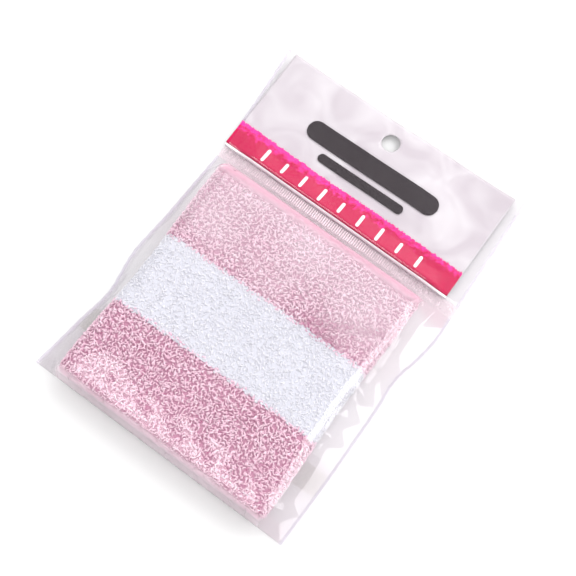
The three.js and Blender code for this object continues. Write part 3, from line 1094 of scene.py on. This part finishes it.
hole_points = np.array([v.co for v in nodes["header_panel"].data.vertices]) / MM
panel_low, panel_high = low("header_panel"), high("header_panel")
inside = (hole_points > panel_low + 1) & (hole_points < panel_high - 1)
rim = hole_points[inside[:, :2].all(1)]
hole_centre = (rim.min(0) + rim.max(0)) / 2
hole_radius = (rim.max(0) - rim.min(0))[0] / 2
hole_place = Vector(hole_centre) * MM
print("hang hole", hole_centre, "radius", hole_radius)

# %% Header and back layers


def middle_z(node):
    return (low(node)[2] + high(node)[2]) / 2


back = flat_sheet("bag_back_film", film_bottom, bag_top, left_edge, right_edge, (1, 1), BACK_Z)
lay(back, fold_y)
punch(back)
back.data.shade_smooth()
stand_in(back, ["pouch_back_film", "header_back_film"], clear_film)
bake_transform(back)

header_foot = fold_y + FILM_LIFT
cover_z = middle_z("header_front_film")
cover = flat_sheet(
    "header_cover_film", header_foot, bag_top, left_edge, right_edge, (0.8, 0.8), cover_z
)
lay(cover)
punch(cover)
cover.data.shade_smooth()
stand_in(cover, ["header_front_film"], clear_film)
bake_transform(cover)

# %% [markdown]
# The panel is pearlised polypropylene: tiny bubbles and mica in the plastic scatter light,
# so it is opaque, softly shiny and faintly cloudy. It is narrower than the films, which
# leaves a clear margin at both sides.

# %% The pearly panel
PANEL_FILM = 0.12


def half_width(amount):
    """A straight edge for flat_sheet, at the same distance from the middle all the way up."""
    return lambda y: amount + 0 * np.asarray(y, float)


panel_edge = half_width(panel_high[0])
panel = flat_sheet(
    "pearl_header_panel",
    panel_low[1],
    panel_high[1],
    panel_edge,
    panel_edge,
    (0.8, 0.8),
    middle_z("header_panel"),
)
lay(panel)
punch(panel)
finish_film(panel, PANEL_FILM)
pearl, tree, output = new_material("pearlised_film_sheet")
place = add_node(tree, "ShaderNodeTexCoord")
clouds = add_node(
    tree,
    "ShaderNodeTexNoise",
    {"Scale": 62.0, "Detail": 2.5, "Distortion": 1.2},
    {"Vector": place.outputs["Object"]},
)
shade = add_node(
    tree,
    "ShaderNodeMapRange",
    {"From Min": 0.35, "From Max": 0.7},
    {"Value": clouds.outputs["Fac"]},
)
blend_colour = add_node(
    tree,
    "ShaderNodeMix",
    {"data_type": "RGBA", "A": linear("#BEB6BC"), "B": linear("#D2CED1")},
    {"Factor": shade.outputs["Result"]},
)
body = add_node(
    tree,
    "ShaderNodeBsdfPrincipled",
    {"Roughness": 0.42, "Specular IOR Level": 0.4, "Sheen Weight": 0.1},
    {"Base Color": blend_colour.outputs["Result"]},
)
tree.links.new(body.outputs["BSDF"], output.inputs["Surface"])
stand_in(panel, ["header_panel"], pearl)
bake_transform(panel)

# %% [markdown]
# A hot wire cuts both films and melts their edges into one bead. The bead shrinks as it
# cools, which crinkles it, and it is cloudier than the film.

# %% Welds
WELD_BEAD = 0.16  # thickness of the melted edge
for side, edge_of, sign in (("left", left_edge, -1), ("right", right_edge, 1)):
    for part, start, end in (("pouch", bag_bottom, crimp_bottom), ("header", header_foot, bag_top)):
        inner = (lambda y: -edge_of(y)) if sign > 0 else (lambda y: edge_of(y) + WELD)
        outer = (lambda y: edge_of(y) + WELD) if sign > 0 else (lambda y: -edge_of(y))
        weld = flat_sheet(f"{part}_side_weld_{side}", start, end, inner, outer, (0.3, 0.8), 1.0)

        def crinkle(points, header=part == "header"):
            x, y, z = points.T
            lift = 0.12 * np.sin(y * 2.1 + np.sin(y / 3)) * np.sin(x * 3 + y)
            if header:
                lift = lift + 0.45 + wave(x, y)
            return np.stack([x + 0.06 * np.sin(y * 1.7), y + lean(x, y), z + lift], 1)

        move_points(weld, crinkle)
        finish_film(weld, WELD_BEAD)
        stand_in(weld, [f"{part}_weld_{side}"], welded_film)
        if part == "pouch":
            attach(weld, "pouch")
        else:
            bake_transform(weld)

# %% [markdown]
# Above the band the two films are crimped together between heated, toothed jaws. The jaws
# leave short, fine ribs that run up the bag; they are deepest in the middle of the jaw.

# %% The crimp
RIB_PITCH = 0.8
RIB_HEIGHT = 0.22
crimp = flat_sheet(
    "ribbed_crimp",
    crimp_bottom,
    header_foot,
    lambda y: left_edge(y) + WELD,
    lambda y: right_edge(y) + WELD,
    (RIB_PITCH / 6, 0.5),
    crimp_z,
)


def press_ribs(points):
    x, y, z = points.T
    middle = np.clip(1.25 - np.abs(x + 2) / 36, 0, 1)
    within = np.clip((y - header_foot + 3.4) / 0.5, 0, 1) * np.clip((header_foot - y) / 0.4, 0, 1)
    ribs = middle * within * (0.5 + 0.5 * np.cos(2 * math.pi * x / RIB_PITCH))
    store(crimp, "rib", ribs)
    return np.stack([x, y + lean(x, y), z + RIB_HEIGHT * ribs], 1)


move_points(crimp, press_ribs)
crimp.data.shade_smooth()
stand_in(crimp, ["crimp_seal"], crimped_film)
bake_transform(crimp)

# %% [markdown]
# ## Print on the header
# The print is a glossy crimson band whose upper edge is torn into small loops of magenta,
# and two charcoal bars; below the band runs a white line, a painted highlight. The ink lies
# between the pearly sheet and the clear film.

# %% Inks


def ink_material(name, colour, edge_colour=None, edge_from=None):
    """Gravure ink: strong, even colour with the faint mottle of the printing roller."""
    material, tree, output = new_material(name)
    place = add_node(tree, "ShaderNodeTexCoord")
    mottle = add_node(
        tree, "ShaderNodeTexNoise", {"Scale": 700.0, "Detail": 2.0}, {"Vector": place.outputs["Object"]}
    )
    dark = [c * 0.82 for c in linear(colour)[:3]] + [1.0]
    ink = add_node(
        tree,
        "ShaderNodeMix",
        {"data_type": "RGBA", "A": linear(colour), "B": dark},
        {"Factor": mottle.outputs["Fac"]},
    )
    shown = ink.outputs["Result"]
    if edge_colour:
        axes = add_node(tree, "ShaderNodeSeparateXYZ", None, {"Vector": place.outputs["Object"]})
        shift = add_node(
            tree,
            "ShaderNodeMapRange",
            {"From Min": 0.3, "From Max": 0.7, "To Min": -1.6 * MM, "To Max": 1.6 * MM},
            {"Value": mottle.outputs["Fac"]},
        )
        height = add_node(
            tree,
            "ShaderNodeMath",
            {"operation": "ADD"},
            {0: axes.outputs["Y"], 1: shift.outputs["Result"]},
        )
        share = add_node(
            tree,
            "ShaderNodeMapRange",
            {"From Min": edge_from * MM, "From Max": (edge_from + 2.2) * MM},
            {"Value": height.outputs[0]},
        )
        mixed = add_node(
            tree,
            "ShaderNodeMix",
            {"data_type": "RGBA", "B": linear(edge_colour)},
            {"Factor": share.outputs["Result"], "A": shown},
        )
        shown = mixed.outputs["Result"]
    body = add_node(
        tree,
        "ShaderNodeBsdfPrincipled",
        {"Roughness": 0.45, "Specular IOR Level": 0.15},
        {"Base Color": shown},
    )
    tree.links.new(body.outputs["BSDF"], output.inputs["Surface"])
    return material


def round_ends(piece, centre_y, half_length, half_height):
    """Turns a rectangle into a bar with round ends."""

    def shape(points):
        x, y, z = points.T
        past = np.clip((np.abs(x) - half_length + half_height) / half_height, 0, 1)
        return np.stack([x, centre_y + (y - centre_y) * np.sqrt(1 - past**2 * 0.9999), z], 1)

    move_points(piece, shape)


band_ink_low, band_ink_high = low("print_band"), high("print_band")
WHITE_LINE = 0.7  # left unprinted between the ink and the panel's lower edge
INK_FILM = 0.05
ink_edge = half_width(band_ink_high[0])
ink = flat_sheet(
    "crimson_print_band",
    band_ink_low[1] + WHITE_LINE,
    band_ink_high[1],
    ink_edge,
    ink_edge,
    (0.35, 0.7),
    middle_z("print_band"),
)
tear_rng = np.random.default_rng(3)
TEARS = 400
tears = tear_rng.uniform(-0.75, 0.1, TEARS)


def tear(points):
    """Makes the ink's upper edge ragged, like torn terry."""
    x, y, z = points.T
    depth = np.interp(x, np.linspace(-bag_half, bag_half, TEARS), tears)
    share = np.clip((y - band_ink_high[1] + 1.5) / 1.5, 0, 1)
    return np.stack([x, y + depth * share, z], 1)


move_points(ink, tear)
lay(ink)
finish_film(ink, INK_FILM)
magenta_from = band_ink_high[1] - 3.6
crimson = ink_material("crimson_gravure_ink", "#C81350", "#F5359A", magenta_from)
stand_in(ink, ["print_band"], crimson)
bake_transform(ink)

charcoal = ink_material("charcoal_gravure_ink", "#332B30")
bars = {"print_title_bar": "charcoal_title_bar", "print_subtitle_bar": "charcoal_line_bar"}
for node, name in bars.items():
    bottom, top = low(node), high(node)
    bar_edge = half_width(top[0])
    bar = flat_sheet(name, bottom[1], top[1], bar_edge, bar_edge, (0.4, 0.5), middle_z(node))
    round_ends(bar, (bottom[1] + top[1]) / 2, top[0], (top[1] - bottom[1]) / 2)
    lay(bar)
    finish_film(bar, INK_FILM)
    stand_in(bar, [node], charcoal)
    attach(bar, "header")

# %% [markdown]
# A row of plain white dashes runs along the crimson band, over a white line. The dashes are
# printed in opaque white ink, which covers the crimson without a gloss of its own; the line is
# the same white, painted as a highlight.

# %% White marks on the crimson band
MARK_PITCH = 7.7
MARK_RADIUS = 0.6
MARKS_EACH_SIDE = 4
MARK_FILM = 0.04
mark_middle = band_ink_low[1] + 4.6
mark_z = middle_z("print_band") + 0.08
marks = []
for number in range(-MARKS_EACH_SIDE, MARKS_EACH_SIDE + 1):
    bpy.ops.object.select_all(action="DESELECT")
    bpy.ops.mesh.primitive_circle_add(vertices=20, radius=MARK_RADIUS * MM, fill_type="NGON")
    mark = bpy.context.object
    bpy.ops.object.mode_set(mode="EDIT")
    bpy.ops.mesh.select_all(action="SELECT")
    bpy.ops.mesh.inset(thickness=0.2 * MM, depth=0)
    bpy.ops.object.mode_set(mode="OBJECT")

    def stretch(points, number=number):
        x, y, z = points.T
        tall = 1.6 + 0.25 * (number % 3)
        stretched = y + np.sign(y) * tall * (np.abs(y) > 0.05)
        return np.stack([x + MARK_PITCH * number, stretched + mark_middle, z + mark_z], 1)

    move_points(mark, stretch)
    marks.append(mark)
# Painted highlight: a white strip over the panel's unprinted edge below the ink, brighter than the
# pearly panel, where the sheet turns up at its foot.
line = flat_sheet(
    "white_line_painted_highlight",
    band_ink_low[1] - 0.05,
    band_ink_low[1] + WHITE_LINE - 0.1,
    ink_edge,
    ink_edge,
    (0.5, 0.3),
    mark_z,
)
marks.append(line)
bpy.ops.object.select_all(action="DESELECT")
for mark in marks:
    mark.select_set(True)
bpy.context.view_layer.objects.active = marks[0]
bpy.ops.object.join()
marks = bpy.context.object
marks.name = "white_marks_and_highlight_line"
lay(marks)
finish_film(marks, MARK_FILM)
dress(marks, ink_material("white_ink_and_painted_highlight", "#FDFBFD"))
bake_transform(marks)

# %% [markdown]
# ## Flap and adhesive
# The back film goes on past the bottom of the bag as a flap, folded under and held by a
# strip of tacky adhesive. Acrylic adhesive is soft and slightly yellow, so it blurs what lies
# behind it and its mirror is dull.

# %% The flap
flap_top = high("closure_flap")[1]
flap_z = middle_z("closure_flap")
flap = flat_sheet("closure_flap_film", bag_bottom, flap_top, left_edge, right_edge, (2, 1), flap_z)


def curl(points):
    """Curls the flap's folded end up to the bag's bottom edge."""
    x, y, z = points.T
    near = np.clip(1 - (y - bag_bottom) / 1.5, 0, 1)
    turn = near * math.pi
    radius = (BACK_Z - flap_z) / 2
    return np.stack(
        [
            x,
            np.where(near > 0, bag_bottom + radius * (1 - np.sin(turn)), y),
            z + radius * (1 - np.cos(turn)),
        ],
        1,
    )


move_points(flap, curl)
flap.data.shade_smooth()
stand_in(flap, ["closure_flap"], clear_film)
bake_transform(flap)

tack = flat_sheet(
    "tacky_strip",
    low("adhesive_strip")[1],
    high("adhesive_strip")[1],
    left_edge,
    right_edge,
    (1, 1),
    middle_z("adhesive_strip"),
)
tack.data.shade_smooth()
tacky = film_material("tacky_acrylic_adhesive", 0.06, "#FBFAF6", 0.25)
stand_in(tack, ["adhesive_strip"], tacky)
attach(tack, "flap")
